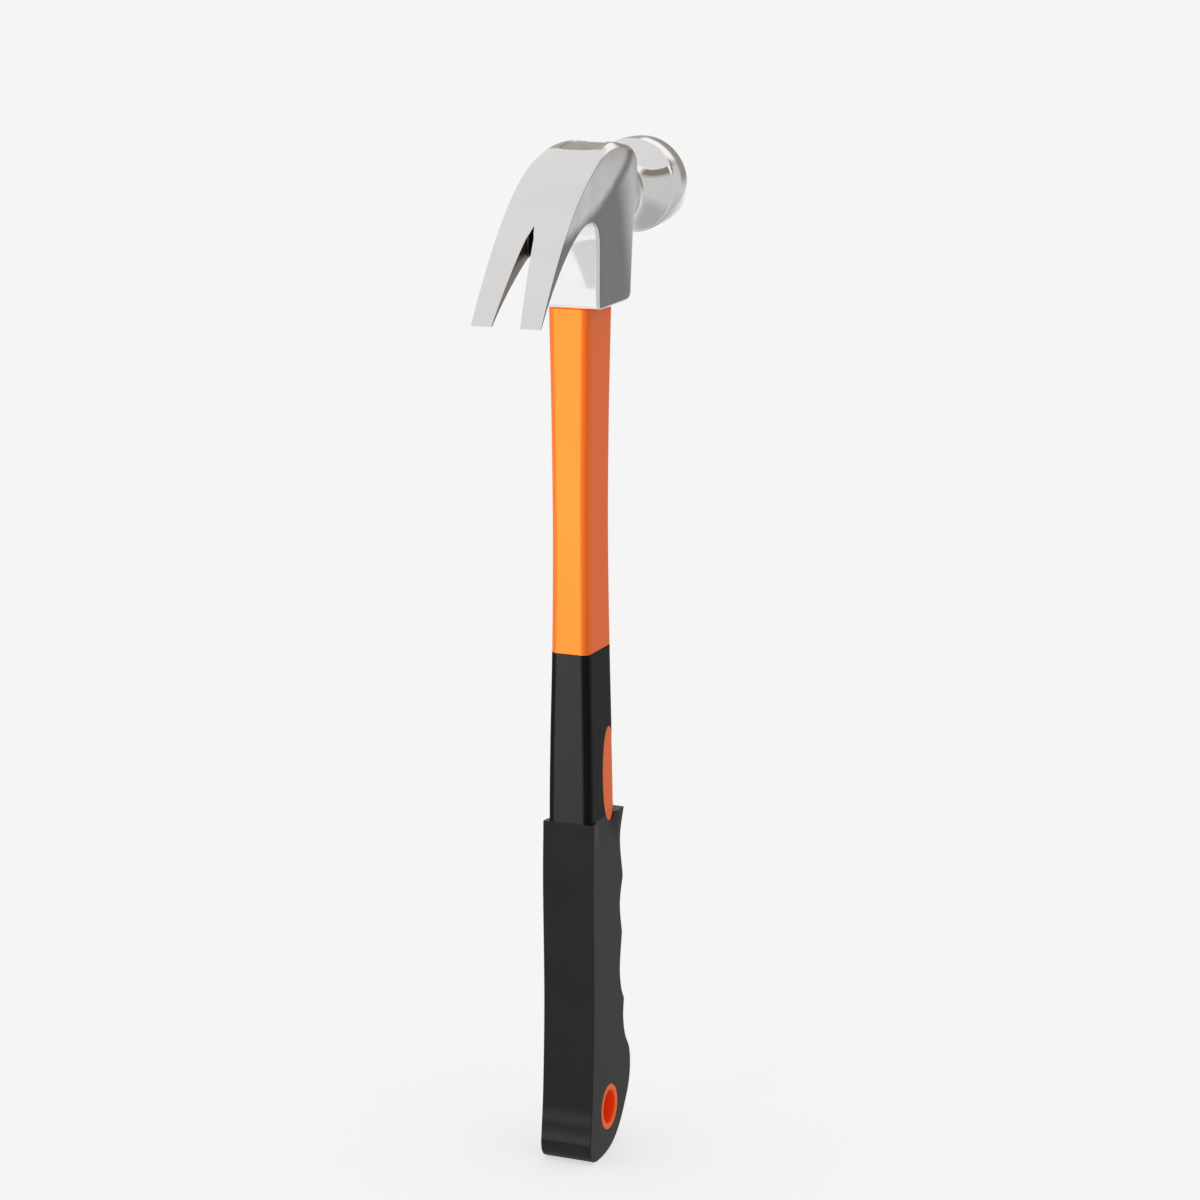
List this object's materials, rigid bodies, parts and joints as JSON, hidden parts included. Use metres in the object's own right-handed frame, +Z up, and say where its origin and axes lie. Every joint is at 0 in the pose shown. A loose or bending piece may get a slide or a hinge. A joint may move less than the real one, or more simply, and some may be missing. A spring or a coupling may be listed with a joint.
{
  "type": "claw hammer",
  "caption": "Curved-claw hammer: forged steel head with a round poll and V-notched claws, on a slim two-colour handle with a stepped, finger-grooved rubber grip and a hang hole.",
  "frame": {"origin": "under the middle of the hammer's length and width, at the height of the foot of the butt", "axes": "+Z up the handle to the head, +X to the striking face, claws towards -X, Y across the thickness"},
  "size_m": [0.1118, 0.031, 0.3352],
  "materials": {
    "forged_steel": "mirror-polished top, poll, neck front and edges, with satin blasted cheeks",
    "resin": "cast resin, slightly cloudy",
    "fibreglass": "pultruded rod, fine lengthwise grain",
    "orange_polymer": "moulded, satin",
    "black_rubber": "moulded, matte, fine grain"
  },
  "bodies": {
    "root": {"hammer_head": "forged_steel", "eye_resin": "resin", "fibreglass_core": "fibreglass", "handle_jacket": "orange_polymer", "rubber_grip": "black_rubber"}
  },
  "joints": []
}
